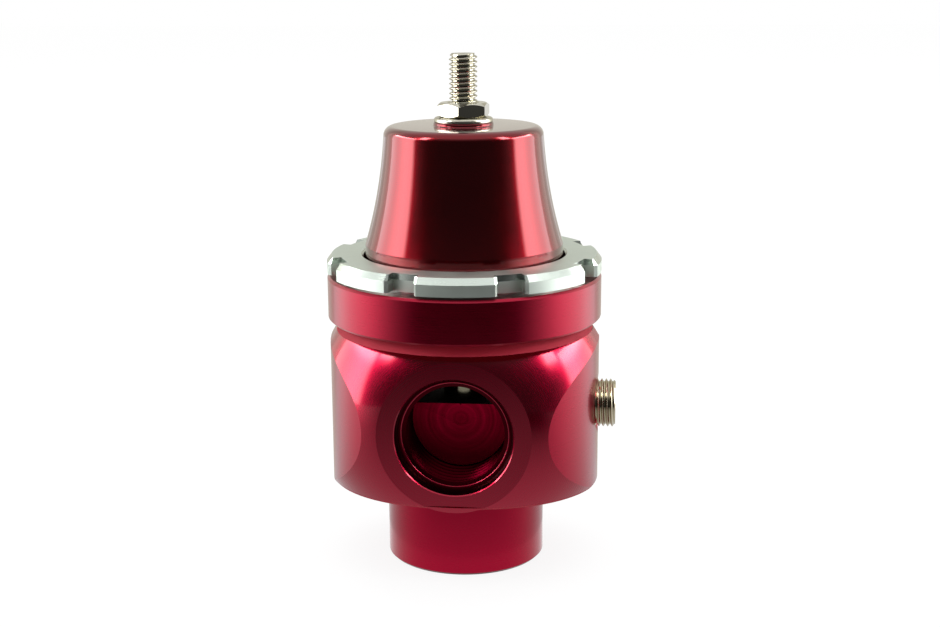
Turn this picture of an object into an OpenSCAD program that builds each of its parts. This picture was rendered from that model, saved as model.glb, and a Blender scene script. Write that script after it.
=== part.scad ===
// Adjustable fuel pressure regulator: twin side inlets, bottom return, bonnet held by a notched collar.
// Millimetres, +Z up, origin on the axis at the mouth of the bottom return port.

/* [Body] */
// Outside diameter of the return stub
stub_d = 34; // [31:0.5:40]
// Height of the return stub
stub_h = 17; // [15:0.5:24]
// Diameter of the turned lower body
body_d = 57.8; // [56.6:0.2:62]
// Height of the lower body, from the stub to its shoulder
body_h = 33.65; // [32.6:0.05:36]
// Height of the port axis above the underside of the lower body
port_rise = 15.25; // [15:0.05:16.4]
// Distance from the axis to each port face
port_face = 23; // [22.6:0.1:24]
// Radius of the flat left round each port
port_flat_r = 16; // [14.5:0.1:16.4]
// Radius of the rounded flank's arc, turned about the port axis
dome_r = 26.6; // [26:0.1:28]
// Distance of that arc's centre from the port axis
dome_ring = 6.8; // [6:0.1:8]
// Diameter of the neck between lower body and rim
neck_d = 52.6; // [50:0.2:54]
// Height of the neck groove
neck_h = 2.4; // [2:0.1:5]
// Radial width of the flare between the neck and the lower body's shoulder
neck_flare = 1.2; // [0.5:0.1:1.8]
// Height of that flare
neck_flare_h = 1.8; // [0.5:0.1:1.9]
// How far the rim stands out over the lower body, at least
rim_proud = 0.3; // [0.1:0.1:1]
// Wall of the rim outside the collar thread, at least
rim_wall = 3.2; // [2.8:0.1:5]
// Height of the rim
rim_h = 9.35; // [8.6:0.05:12]
// Small chamfer on the turned outer edges
edge_break = 0.5; // [0.2:0.1:0.8]

/* [Ports] */
// Minor diameter of the large port threads
port_minor_d = 20.5; // [18:0.1:22]
// Diameter of the seal seat at each port mouth
port_seat_d = 24.5; // [23:0.1:26]
// Depth of the seal seat chamfer
port_seat_depth = 2.4; // [1.5:0.1:3]
// Distance from the axis to the flat end wall of each side port
port_end = 9; // [7.5:0.1:11]
// Depth of the return port thread
return_depth = 13; // [10:0.5:14.5]
// Diameter of the return passage below the valve seat
return_bore_d = 6; // [4:0.2:6.6]
// Height of the gauge port axis above the underside of the lower body
gauge_rise = 17; // [15.6:0.1:17.4]
// Minor diameter of the gauge port
gauge_bore_d = 10.4; // [8.6:0.1:10.8]
// Depth of the gauge thread from the body surface
gauge_depth = 11; // [9:0.5:13]
// Diameter of the drilling from the gauge port to the chamber
gauge_link_d = 7; // [6.4:0.1:8]
// Countersink diameter at the gauge port mouth
gauge_sink_d = 13; // [12:0.2:14]

/* [Chamber and diaphragm] */
// Height of the chamber floor above the port axis
floor_rise = 3.35; // [2.5:0.05:4.5]
// Diameter of the fuel chamber under the diaphragm
chamber_d = 35; // [33:0.5:38]
// Diameter of the well round the valve seat
well_d = 24; // [22:0.5:26]
// Thickness of the wall between a side port and the chamber above it
port_roof = 1.2; // [1:0.1:2]
// Height of the diaphragm ledge above the underside of the rim
ledge_rise = 1.85; // [1:0.05:2.2]
// Radial clearance between the bonnet flange and the threaded bore in the rim
flange_slack = 0.3; // [0.2:0.05:0.5]
// Thickness of the diaphragm
diaphragm_t = 1; // [0.6:0.1:1.6]
// Radius of the middle line of the diaphragm's convolution
roll_r = 16; // [15.8:0.1:16.6]
// Inside radius of the convolution arch
roll_arch = 0.7; // [0.5:0.1:1]
// Diameter of the plates that clamp the diaphragm
plate_d = 28; // [26:0.5:28.4]
// Thickness of the lower diaphragm plate
plate_t = 1.8; // [1.2:0.1:2.4]

/* [Valve] */
// Outside diameter of the valve seat tube
seat_d = 9.2; // [8.6:0.1:10]
// Bore of the valve seat tube
seat_bore_d = 6; // [4:0.2:6.2]
// Distance from the diaphragm plate down to the valve seat's face
stem_reach = 9.1; // [8.8:0.1:10]
// Length of the seat tube below the chamber floor
seat_sunk = 8; // [6:0.5:10]
// Radius of the swivelling valve ball
ball_r = 4.8; // [4.6:0.1:5]
// Radius of the flat face on the valve ball
ball_face_r = 3.7; // [3.4:0.1:3.9]
// Outside diameter of the ball cup on the stem
cup_d = 13.2; // [12.8:0.2:14]
// Diameter of the stem thread
stem_d = 6; // [5:0.5:7]

/* [Bonnet] */
// Diameter of the clamped bonnet flange
flange_d = 51.4; // [50.6:0.2:52]
// Thickness of the bonnet flange
flange_t = 2.6; // [2:0.1:3.2]
// Diameter of the straight foot of the bonnet
foot_d = 42; // [41:0.2:43]
// Height of the bonnet from its underside to its top face
bonnet_h = 37.7; // [36:0.1:40]
// Height of the foot above the flange
foot_h = 11; // [10:0.1:12]
// Diameter at the top of the bell flank
bell_d = 33.6; // [32:0.2:36]
// Radius of the hollow curve of the bell flank
bell_curve = 100; // [80:5:160]
// Round on the top edge of the bonnet
crown_round = 1; // [0.6:0.1:1.6]
// Thickness of the bonnet's top wall
crown_t = 4.5; // [4:0.1:5]
// Diameter of the spring cavity at its foot
cavity_d = 36; // [35:0.5:37]
// Diameter of the spring cavity at its top
cavity_top_d = 27; // [26.5:0.5:28]
// Diameter of the raised boss under the washer
boss_d = 12.6; // [12.6:0.2:15]
// Height of the raised boss
boss_h = 0.7; // [0.4:0.1:1.4]

/* [Collar] */
// Height of the gap between rim and collar
collar_gap = 0.6; // [0.3:0.1:1]
// Thickness of the collar's notched flange
collar_t = 3.7; // [3:0.1:4.4]
// Radial clearance between collar and bonnet foot
collar_slack = 0.5; // [0.3:0.1:0.8]
// Number of spanner notches
notch_n = 8; // [6:1:10]
// Width of each notch
notch_w = 5.9; // [4.5:0.1:7]
// Depth of each notch
notch_depth = 2.8; // [2:0.1:3]
// Height of the bevel round the top of the lugs
bevel_h = 1.3; // [0.6:0.1:1.6]
// Radial width of the bevel round the top of the lugs
bevel_w = 1.0; // [0.5:0.1:1.2]
// Angle of a lug's middle from the front port
collar_clock = 2.5; // [-20:0.5:20]

/* [Adjuster] */
// Thread diameter of the adjuster screw
screw_d = 6; // [5.6:0.1:6]
// Length of screw that stands above the lock nut
screw_stand = 10.1; // [6:0.1:12]
// Size of the hex socket across its flats
socket_af = 3; // [2.5:0.1:3.2]
// Depth of the hex socket
socket_depth = 3; // [2:0.1:4]
// Width of the lock nut across its flats
nut_af = 10; // [9:0.1:11]
// Height of the lock nut
nut_h = 3; // [2.4:0.05:4]
// Angle of a nut corner from the front port
nut_clock = -1.5; // [-30:0.5:30]
// Outside diameter of the washer
washer_d = 12.4; // [11.6:0.1:12.6]
// Thickness of the washer
washer_t = 0.95; // [0.8:0.05:1.6]
// Radius of the thrust ball under the screw
thrust_r = 2; // [1.6:0.1:2.4]
// Radius of the adjuster seal ring's section
seal_r = 0.7; // [0.6:0.05:0.75]

/* [Spring] */
// Wire diameter of the main spring
wire_d = 2.6; // [2:0.1:3]
// Mean diameter of the main spring
spring_d = 21.2; // [20:0.2:22]
// Number of turns
spring_turns = 6; // [5:0.5:7]
// Thickness of the spring seats
spring_seat_t = 2.4; // [1.8:0.1:3]
// Space between the upper spring seat and the cavity roof
seat_room = 3.5; // [3:0.1:5]

/* [Fittings] */
// Length of gauge plug that stands out of the body
plug_stand = 3.7; // [2:0.1:6]
// Length of gauge plug inside the body
plug_sunk = 7; // [5:0.5:8]
// Size of the plug's hex socket across its flats
plug_socket_af = 4.8; // [4:0.1:5.2]
// Height of the reference nipple above the bonnet foot
nipple_rise = 7; // [6:0.1:9]
// Thread diameter of the reference nipple
nipple_thread_d = 6; // [5:0.5:7]
// Width of the nipple's hexagon across its flats
nipple_af = 8; // [7:0.5:10]
// Length of the hose barb
barb_len = 9; // [7:0.5:12]
// Diameter of the hose barb tube
barb_d = 4; // [3.5:0.1:5]
// Diameter of the locating pin between body and bonnet
pin_d = 2.5; // [2:0.1:2.6]

/* [Hidden] */
$fn = 96;
FIT = 0.02;
RUN = 0.05;
EPS = 0.01;
// Overrun of a cut past the face it opens, and overlap of joined solids
OVER = 1;

// Heights up the axis
body_z = stub_h;
port_z = body_z + port_rise;
gauge_z = body_z + gauge_rise;
shoulder_z = body_z + body_h;
rim_z = shoulder_z + neck_h;
rim_top = rim_z + rim_h;
ledge_z = rim_z + ledge_rise;
floor_z = port_z + floor_rise;
chamber_z = port_z + port_minor_d / 2 + port_roof;
plate_z = ledge_z - plate_t;
seat_top = plate_z - stem_reach;
seat_foot = floor_z - seat_sunk;
clamp_z = ledge_z + diaphragm_t;
flange_top = clamp_z + flange_t;
foot_top = flange_top + foot_h;
crown_z = clamp_z + bonnet_h;
cavity_roof = crown_z - crown_t;
boss_top = crown_z + boss_h;
collar_z = rim_top + collar_gap;
collar_top = collar_z + collar_t;
washer_z = boss_top + RUN;
nut_z = washer_z + washer_t + FIT;
screw_top = nut_z + nut_h + screw_stand;
upper_seat_z = cavity_roof - seat_room - spring_seat_t;
lower_seat_z = clamp_z;
spring_z0 = lower_seat_z + spring_seat_t;
spring_z1 = upper_seat_z;
thrust_z = upper_seat_z + spring_seat_t + thrust_r / 2;
screw_tip = thrust_z + thrust_r + RUN;

// Radii
stub_r = stub_d / 2;
body_r = body_d / 2;
neck_r = neck_d / 2;
port_r = port_minor_d / 2;
flange_r = flange_d / 2;
rim_bore_r = flange_r + flange_slack;
rim_r = max(body_r + rim_proud, rim_bore_r + rim_wall);
foot_r = foot_d / 2;
bell_r = bell_d / 2;
plate_r = plate_d / 2;
seat_r = seat_d / 2;
cup_r = cup_d / 2;
thread_r = screw_d / 2;
wire_r = wire_d / 2;

// The flank's arc is set back so that it meets the port face at the flat's radius
dome_back = sqrt(dome_r * dome_r - pow(port_flat_r - dome_ring, 2)) - port_face;

// The valve ball's centre stands over its flat face
ball_z = seat_top + RUN + sqrt(ball_r * ball_r - ball_face_r * ball_face_r);
retainer_t = ball_r / 4;
cup_share = 0.45;
cup_z = ball_z - ball_r * cup_share;
cup_wall = 1;

pin_ring_r = (flange_r + cavity_d / 2) / 2;
pin_sunk = 2.6;
pin_cover = 0.6;
pin_end_gap = 0.2;
pin_slack = 0.15;
nipple_z = foot_top + nipple_rise;
nipple_sink = 0.4;
nipple_seat_y = foot_r - nipple_sink;
nipple_slack = 0.5;
nipple_hex_t = 3.6;
oring_z = (floor_z + seat_foot) / 2;
oring_r = 0.5;
oring_groove = 0.9;
oring_room = 0.2;
center_rim = 1.2;
center_rim_h = 2;
spigot_h = 1.8;
spigot_slack = 0.3;
spigot_taper = 0.5;
seat_taper = 0.6;
neck_root = 2;
link_start = 2.5;
cavity_straight = 3;
washer_slack = 0.2;
stem_stand = 0.8 * stem_d;
stem_nut_af = stem_d * 10 / 6;
stem_nut_h = 0.6 * stem_d;
SPRING_STEPS = 20;
WIRE_SIDES = 8;

RED = "#a3122b";
SILVER = "#b9bcb8";
STEEL = "#c9c9c4";
BRASS = "#b5934a";
RUBBER = "#1c1c1c";

// Points of a circular arc in the profile plane, centre c, radius r, from angle a to angle b
function arc(c, r, a, b, n) = [for (i = [0:n]) c + r * [cos(a + (b - a) * i / n), sin(a + (b - a) * i / n)]];

// Profile points of the bell: a hollow arc of radius bell_curve between two points
function hollow_arc(p, q, r, n) =
    let (m = (p + q) / 2, d = q - p, l = norm(d),
         out = [d[1], -d[0]] / l, c = m + out * sqrt(r * r - l * l / 4),
         a = atan2(p[1] - c[1], p[0] - c[0]), b = atan2(q[1] - c[1], q[0] - c[0]),
         turn = (b - a) - 360 * round((b - a) / 360))
    [for (i = [0:n]) c + r * [cos(a + turn * i / n), sin(a + turn * i / n)]];

// A straight hexagonal bar with a given width across its flats
module hex_bar(af, h) {
    cylinder(d = af / cos(30), h = h, $fn = 6);
}

// A hexagonal nut blank with its corners turned off at one or both ends
module turned_hex(af, h) {
    corner = af / cos(30) / 2;
    drop = (corner - af / 2) * tan(30);
    intersection() {
        hex_bar(af, h);
        rotate_extrude() polygon([[0, 0], [af / 2, 0], [corner + EPS, drop], [corner + EPS, h - drop], [af / 2, h], [0, h]]);
    }
}

// The large O-ring port: thread bore and seal seat chamfer, mouth at z = 0, drilled downwards
module boss_port(depth) {
    seat_r0 = port_seat_d / 2;
    rotate_extrude() polygon([[0, OVER], [seat_r0, OVER], [seat_r0, 0], [seat_r0 - seat_taper, -port_seat_depth],
                              [port_r, -port_seat_depth], [port_r, -depth], [0, -depth]]);
}

// The form turned about the port axis: two set-back arcs and a flat face at each port
module rounded_flank() {
    rotate_extrude() intersection() {
        union() {
            intersection() {
                translate([dome_ring, dome_back]) circle(dome_r);
                translate([dome_ring, -dome_back]) circle(dome_r);
                translate([dome_ring, -dome_r]) square([dome_r, 2 * dome_r]);
            }
            translate([0, -dome_r]) square([dome_ring + EPS, 2 * dome_r]);
        }
        translate([0, -port_face]) square([body_d, 2 * port_face]);
    }
}

// Lower body: a turned cylinder, rounded about the port axis and faced flat at the ports
module lower_body() {
    intersection() {
        translate([0, 0, body_z])
            rotate_extrude() polygon([[0, 0], [body_r - edge_break, 0], [body_r, edge_break], [body_r, body_h], [0, body_h]]);
        translate([0, 0, port_z]) rotate([90, 0, 0]) rounded_flank();
    }
}

// Stub, neck and rim, turned about the axis
module turned_ends() {
    rotate_extrude() polygon([[0, 0], [stub_r - edge_break, 0], [stub_r, edge_break], [stub_r, body_z + OVER], [0, body_z + OVER]]);
    root_r = chamber_d / 2 + neck_root;
    rotate_extrude() polygon([[0, shoulder_z - OVER], [root_r, shoulder_z - OVER], [root_r, shoulder_z],
                              [neck_r + neck_flare, shoulder_z], [neck_r, shoulder_z + neck_flare_h], [neck_r, rim_z],
                              [rim_r - edge_break, rim_z], [rim_r, rim_z + edge_break], [rim_r, rim_top - edge_break],
                              [rim_r - edge_break, rim_top], [0, rim_top]]);
}

// Gauge port with its countersink and the drilling that breaks into the chamber floor
module gauge_port() {
    sink_r = gauge_sink_d / 2;
    bore_r = gauge_bore_d / 2;
    translate([0, 0, gauge_z]) rotate([0, 90, 0]) {
        translate([0, 0, body_r - gauge_depth]) cylinder(r = bore_r, h = gauge_depth + OVER);
        translate([0, 0, body_r - (sink_r - bore_r)]) cylinder(r1 = bore_r, r2 = sink_r + OVER, h = sink_r - bore_r + OVER);
        translate([0, 0, well_d / 2 - link_start]) cylinder(d = gauge_link_d, h = body_r - well_d / 2 - gauge_depth + link_start + OVER);
    }
}

module body() {
    color(RED) difference() {
        union() {
            lower_body();
            turned_ends();
        }
        // Fuel chamber, diaphragm ledge and collar thread
        translate([0, 0, floor_z]) cylinder(d = well_d, h = rim_top);
        translate([0, 0, chamber_z]) cylinder(d = chamber_d, h = rim_top);
        translate([0, 0, ledge_z]) cylinder(r = rim_bore_r, h = rim_top);
        // Side inlets, return port and return passage
        for (turn = [0, 180])
            rotate([0, 0, turn]) translate([0, -port_face, port_z]) rotate([90, 0, 0]) boss_port(port_face - port_end);
        rotate([180, 0, 0]) boss_port(return_depth);
        cylinder(d = return_bore_d, h = floor_z + OVER);
        translate([0, 0, seat_foot]) cylinder(r = seat_r + FIT, h = seat_sunk + OVER);
        gauge_port();
        translate([0, pin_ring_r, ledge_z - pin_sunk]) cylinder(d = pin_d + 2 * FIT, h = pin_sunk + OVER);
    }
}

module bonnet() {
    flank = hollow_arc([foot_r, foot_top], [bell_r, crown_z - crown_round], bell_curve, 16);
    crown = arc([bell_r - crown_round, crown_z - crown_round], crown_round, 0, 90, 6);
    outside = concat([[0, clamp_z], [flange_r, clamp_z], [flange_r, flange_top], [foot_r, flange_top]], flank, crown,
                     [[boss_d / 2, crown_z], [boss_d / 2, boss_top], [0, boss_top]]);
    color(RED) difference() {
        rotate_extrude() polygon(outside);
        // Spring cavity: straight over the foot, then tapering to the roof
        rotate_extrude() polygon([[0, clamp_z - OVER], [cavity_d / 2, clamp_z - OVER], [cavity_d / 2, foot_top - cavity_straight],
                                  [cavity_top_d / 2, cavity_roof], [0, cavity_roof]]);
        cylinder(r = thread_r, h = screw_top);
        translate([0, 0, boss_top - 2 * seal_r]) cylinder(r = thread_r + 2 * seal_r + RUN, h = screw_top);
        translate([0, 0, nipple_z]) rotate([-90, 0, 0]) cylinder(d = nipple_thread_d, h = body_d);
        translate([0, nipple_seat_y, nipple_z]) rotate([-90, 0, 0]) cylinder(d = nipple_af / cos(30) + 2 * nipple_slack, h = body_d);
        translate([0, pin_ring_r, clamp_z - OVER]) cylinder(d = pin_d + 2 * FIT, h = flange_t + OVER - pin_cover);
    }
}

module clamp_collar() {
    bore_r = foot_r + collar_slack;
    skirt_r = rim_bore_r - RUN;
    color(SILVER) difference() {
        rotate_extrude() polygon([[bore_r, flange_top + FIT], [skirt_r, flange_top + FIT], [skirt_r, collar_z], [rim_r, collar_z],
                                  [rim_r, collar_top - bevel_h], [rim_r - bevel_w, collar_top], [bore_r, collar_top]]);
        for (i = [0:notch_n - 1])
            rotate([0, 0, -90 + collar_clock + (i + 0.5) * 360 / notch_n])
                translate([rim_r - notch_depth, -notch_w / 2, collar_z - OVER]) cube([rim_r, notch_w, collar_t + 2 * OVER]);
    }
}

module locating_pin() {
    color(STEEL) translate([0, pin_ring_r, ledge_z - pin_sunk + FIT])
        cylinder(d = pin_d, h = pin_sunk + diaphragm_t + flange_t - pin_cover - pin_end_gap);
}

module adjuster_screw() {
    tip = 0.8;
    lead = 0.5;
    color(STEEL) difference() {
        rotate_extrude() polygon([[0, screw_tip], [thread_r - RUN - tip, screw_tip], [thread_r - RUN, screw_tip + tip],
                                  [thread_r - RUN, screw_top - lead], [thread_r - RUN - lead, screw_top], [0, screw_top]]);
        translate([0, 0, screw_top - socket_depth]) hex_bar(socket_af, socket_depth + OVER);
    }
}

module lock_nut() {
    color(STEEL) difference() {
        translate([0, 0, nut_z]) rotate([0, 0, nut_clock - 90]) turned_hex(nut_af, nut_h);
        cylinder(r = thread_r, h = screw_top);
    }
}

module lock_washer() {
    rim = washer_t / 3;
    hole_r = thread_r + washer_slack;
    color(STEEL) translate([0, 0, washer_z]) rotate_extrude()
        polygon([[hole_r, 0], [washer_d / 2, 0], [washer_d / 2, washer_t - rim], [washer_d / 2 - rim, washer_t], [hole_r, washer_t]]);
}

module adjuster_seal() {
    color(RUBBER) translate([0, 0, boss_top - seal_r - FIT]) rotate_extrude() translate([thread_r + seal_r + FIT, 0]) circle(seal_r - FIT);
}

module thrust_ball() {
    color(STEEL) translate([0, 0, thrust_z]) sphere(thrust_r);
}

// Upper spring seat: disc with a spigot inside the coil and a dimple for the thrust ball
module upper_spring_seat() {
    spigot_r = spring_d / 2 - wire_r - spigot_slack;
    color(STEEL) difference() {
        rotate_extrude() polygon([[0, upper_seat_z - spigot_h], [spigot_r - spigot_taper, upper_seat_z - spigot_h], [spigot_r, upper_seat_z],
                                  [spring_d / 2 + wire_r, upper_seat_z], [spring_d / 2 + wire_r, upper_seat_z + spring_seat_t],
                                  [0, upper_seat_z + spring_seat_t]]);
        translate([0, 0, thrust_z]) sphere(thrust_r + FIT);
    }
}

// One cross-section of the wire at turn fraction t, closed coils at both ends
function coil_z(t, z0, z1) =
    let (dead = 1 / spring_turns, u = min(max((t - dead) / (1 - 2 * dead), 0), 1),
         low = min(t, dead) / dead, high = max(t - 1 + dead, 0) / dead)
    z0 + wire_d * low + (z1 - z0 - 2 * wire_d) * u + wire_d * high;
function wire_ring(t, z0, z1) =
    let (a = 360 * spring_turns * t, z = coil_z(t, z0, z1))
    [for (k = [0:WIRE_SIDES - 1]) let (b = 360 * k / WIRE_SIDES, r = spring_d / 2 + wire_r * cos(b))
        [r * cos(a), r * sin(a), z + wire_r * sin(b)]];

module main_spring() {
    n = spring_turns * SPRING_STEPS;
    m = WIRE_SIDES;
    z0 = spring_z0 + wire_r + FIT;
    z1 = spring_z1 - wire_r - FIT;
    points = [for (i = [0:n]) each wire_ring(i / n, z0, z1)];
    sides = [for (i = [0:n - 1], k = [0:m - 1]) [i * m + k, i * m + (k + 1) % m, (i + 1) * m + (k + 1) % m, (i + 1) * m + k]];
    first = [[for (k = [0:m - 1]) m - 1 - k]];
    last = [[for (k = [0:m - 1]) n * m + k]];
    color(STEEL) polyhedron(points, concat(sides, first, last), convexity = 10);
}

// Lower spring seat, which is also the upper diaphragm plate
module lower_spring_seat() {
    color(SILVER) translate([0, 0, lower_seat_z]) difference() {
        rotate_extrude() polygon([[0, 0], [plate_r, 0], [plate_r, spring_seat_t + center_rim_h],
                                  [plate_r - center_rim, spring_seat_t + center_rim_h], [plate_r - center_rim, spring_seat_t], [0, spring_seat_t]]);
        translate([0, 0, -OVER]) cylinder(d = stem_d + 2 * RUN, h = spring_seat_t + 2 * OVER);
    }
}

// Moulded diaphragm with one convolution between the plates and the clamped edge
module diaphragm() {
    over = roll_arch + diaphragm_t;
    color(RUBBER) difference() {
        translate([0, 0, ledge_z]) rotate_extrude() difference() {
            union() {
                square([flange_r, diaphragm_t]);
                intersection() {
                    translate([roll_r, 0]) circle(over);
                    translate([roll_r - over, 0]) square([2 * over, over]);
                }
            }
            translate([roll_r, 0]) circle(roll_arch);
        }
        cylinder(d = stem_d + 2 * RUN, h = rim_top);
        translate([0, pin_ring_r, ledge_z - OVER]) cylinder(d = pin_d + 2 * pin_slack, h = diaphragm_t + 2 * OVER);
    }
}

module diaphragm_plate() {
    color(SILVER) translate([0, 0, plate_z]) difference() {
        cylinder(r = plate_r, h = plate_t);
        translate([0, 0, -OVER]) cylinder(d = stem_d + 2 * RUN, h = plate_t + 2 * OVER);
    }
}

// Stem: ball cup below the diaphragm, threaded shank through the plates
module valve_stem() {
    shank_top = lower_seat_z + spring_seat_t + stem_stand;
    color(STEEL) difference() {
        union() {
            translate([0, 0, cup_z]) cylinder(r = cup_r, h = plate_z - cup_z);
            translate([0, 0, plate_z - OVER]) cylinder(d = stem_d, h = shank_top - plate_z + OVER);
        }
        translate([0, 0, ball_z]) sphere(ball_r + RUN);
        translate([0, 0, cup_z - OVER]) cylinder(r = ball_r + RUN, h = ball_z - cup_z + OVER);
        translate([0, 0, cup_z - OVER]) cylinder(r = cup_r - cup_wall + FIT, h = retainer_t + OVER);
    }
}

module stem_nut() {
    color(STEEL) translate([0, 0, lower_seat_z + spring_seat_t]) difference() {
        turned_hex(stem_nut_af, stem_nut_h);
        translate([0, 0, -OVER]) cylinder(d = stem_d + 2 * FIT, h = stem_nut_h + 2 * OVER);
    }
}

module valve_ball() {
    color(STEEL) difference() {
        translate([0, 0, ball_z]) sphere(ball_r);
        translate([-ball_r, -ball_r, seat_top + RUN - 2 * ball_r]) cube(2 * ball_r);
    }
}

module ball_retainer() {
    color(BRASS) translate([0, 0, cup_z]) difference() {
        cylinder(r = cup_r - cup_wall, h = retainer_t - FIT);
        translate([0, 0, ball_z - cup_z]) sphere(ball_r + RUN);
    }
}

module valve_seat() {
    lip = 0.6;
    groove_r = seat_r - oring_groove;
    half = oring_r + oring_room;
    color(STEEL) difference() {
        rotate_extrude() polygon([[seat_bore_d / 2, seat_foot], [seat_r, seat_foot], [seat_r, seat_top - lip],
                                  [seat_r - lip, seat_top], [seat_bore_d / 2, seat_top]]);
        translate([0, 0, oring_z]) rotate_extrude()
            polygon([[groove_r, -half], [seat_r + OVER, -half], [seat_r + OVER, half], [groove_r, half]]);
    }
}

module seat_oring() {
    section = (oring_groove + FIT) / 2 - FIT;
    color(RUBBER) translate([0, 0, oring_z]) rotate_extrude() translate([seat_r + FIT - section - FIT / 2, 0]) circle(section);
}

module gauge_plug() {
    plug_r = gauge_bore_d / 2 - FIT;
    length = plug_sunk + plug_stand;
    socket_h = plug_stand + OVER;
    lead = 0.5;
    color(STEEL) translate([body_r - plug_sunk, 0, gauge_z]) rotate([0, 90, 0]) difference() {
        rotate_extrude() polygon([[0, 0], [plug_r - lead, 0], [plug_r, lead], [plug_r, length - lead], [plug_r - lead, length], [0, length]]);
        translate([0, 0, length - socket_h]) hex_bar(plug_socket_af, socket_h + OVER);
    }
}

// Reference nipple at the back of the bonnet: thread, hexagon and a two-step hose barb
module reference_nipple() {
    hex_y = nipple_seat_y + FIT;
    barb_y = hex_y + nipple_hex_t;
    thread_len = 4;
    flare = 0.6;
    tip = 0.3;
    step1 = barb_len * 0.3;
    step2 = barb_len * 0.65;
    tube_r = barb_d / 2;
    color(BRASS) translate([0, 0, nipple_z]) rotate([-90, 0, 0]) difference() {
        union() {
            translate([0, 0, hex_y - thread_len]) cylinder(d = nipple_thread_d - 2 * FIT, h = thread_len + OVER);
            translate([0, 0, hex_y]) turned_hex(nipple_af, nipple_hex_t);
            translate([0, 0, barb_y - EPS]) rotate_extrude()
                polygon([[0, 0], [tube_r, 0], [tube_r, step1], [tube_r + flare, step1], [tube_r, step2],
                         [tube_r + flare, step2], [tube_r - tip, barb_len], [0, barb_len]]);
        }
        translate([0, 0, hex_y - thread_len - OVER]) cylinder(d = barb_d / 2, h = body_d);
    }
}

body();
bonnet();
clamp_collar();
locating_pin();
adjuster_screw();
lock_nut();
lock_washer();
adjuster_seal();
thrust_ball();
upper_spring_seat();
main_spring();
lower_spring_seat();
diaphragm();
diaphragm_plate();
valve_stem();
stem_nut();
valve_ball();
ball_retainer();
valve_seat();
seat_oring();
gauge_plug();
reference_nipple();
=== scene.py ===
"""Adjustable fuel pressure regulator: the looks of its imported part, as an add-on run as a script."""

import math

import bpy
import numpy as np
from mathutils import Matrix, Vector


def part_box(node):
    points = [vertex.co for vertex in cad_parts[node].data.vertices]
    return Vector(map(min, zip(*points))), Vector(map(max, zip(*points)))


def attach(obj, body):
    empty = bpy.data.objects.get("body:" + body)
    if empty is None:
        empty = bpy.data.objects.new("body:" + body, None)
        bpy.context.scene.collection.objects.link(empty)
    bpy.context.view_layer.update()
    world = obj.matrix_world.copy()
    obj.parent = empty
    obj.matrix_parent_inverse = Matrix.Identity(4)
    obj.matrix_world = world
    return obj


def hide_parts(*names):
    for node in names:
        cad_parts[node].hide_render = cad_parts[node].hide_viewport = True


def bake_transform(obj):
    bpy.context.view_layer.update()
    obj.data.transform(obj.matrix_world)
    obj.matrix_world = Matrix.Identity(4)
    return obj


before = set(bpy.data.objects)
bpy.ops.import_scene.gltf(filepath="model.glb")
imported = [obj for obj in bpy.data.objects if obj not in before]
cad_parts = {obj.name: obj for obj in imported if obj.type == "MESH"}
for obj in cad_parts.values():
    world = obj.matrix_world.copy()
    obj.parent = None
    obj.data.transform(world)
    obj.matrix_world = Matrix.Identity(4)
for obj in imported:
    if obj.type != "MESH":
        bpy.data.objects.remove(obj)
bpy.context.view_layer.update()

bl_info = {
    "name": "Fuel pressure regulator",
    "version": (1, 0, 0),
    "blender": (4, 5, 0),
    "location": "View3D > Sidebar > Regulator",
    "description": "Builds the outside of an adjustable fuel pressure regulator round its packed frame",
    "category": "Object",
}

MM = 0.001
TURN = 2 * math.pi

# Heights up the main axis, in millimetres
BODY_Z = 17.0
PORT_Z = 32.25
GAUGE_Z = 34.0
SHOULDER_Z = 50.65
RIM_Z = 53.05
RIM_TOP = 62.4
LEDGE_Z = 54.9
FLOOR_Z = 35.6
CHAMBER_Z = 43.7
SEAT_TOP = 44.0
SEAT_FOOT = 27.6
CLAMP_Z = 55.9
FLANGE_TOP = 58.5
FOOT_TOP = 68.7
CROWN_Z = 93.6
CAVITY_ROOF = 89.1
BOSS_TOP = 94.3
COLLAR_Z = 63.0
COLLAR_TOP = 66.7
WASHER_Z = 94.35
WASHER_TOP = 95.3
NUT_Z = 95.32
NUT_TOP = 98.32
SCREW_TIP = 88.65
SCREW_TOP = 108.42

# Radii, depths and other sizes in millimetres, slopes in radians, and a few counts and shares
STUB_R = 17.0
NECK_R = 26.3
NECK_FLARE = 1.2
NECK_FLARE_H = 1.8
RIM_R = 29.2
RIM_BORE = 26.0
FLANK_R = 26.6
FLANK_RING = 6.8
PORT_FACE = 23.0
PORT_FLAT = 16.0
PORT_END = 9.0
PORT_MINOR = 10.25
PORT_MAJOR = 11.0
PORT_PITCH = 25.4 / 14
SEAT_MOUTH = 12.25
SEAT_INNER = 11.65
SEAT_DEPTH = 2.4
RETURN_DEPTH = 13.0
PASSAGE_R = 3.0
WELL_R = 12.0
CHAMBER_R = 17.5
VALVE_SEAT_R = 4.6
GAUGE_R = 5.2
GAUGE_SINK = 6.5
FOOT_R = 21.0
BELL_R = 16.8
BELL_CURVE = 100.0
CROWN_ROUND = 2.0
MOUTH_BREAK = 0.2
PORT_LIP = 11.25
LIP_EDGE = 0.3
LEAD_IN = 0.65
PORT_DISH = 0.9
COIL_R = 10.6
COIL_TURNS = 6
WIRE_R = 1.3
THREAD_SLOPE = math.radians(60)
NUT_TURNED = 0.95
NUT_SLOPE = math.radians(34)
BOSS_R = 6.3
FLANGE_R = 25.7
SCREW_R = 2.95
SCREW_PITCH = 1.0
NUT_FLAT = 5.0
WASHER_R = 6.2
BREAK = 0.5
FINE_BREAK = 0.15
BORE_BREAK = 0.45
SEATED = 0.02
RETURN_LEAD = 0.9
RETURN_LIP = 11.25
GAUGE_DEPTH = 11.0
END_DROP = 2.0
CAVITY_R = 18.0
CAVITY_ROOF_R = 13.5
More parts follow.
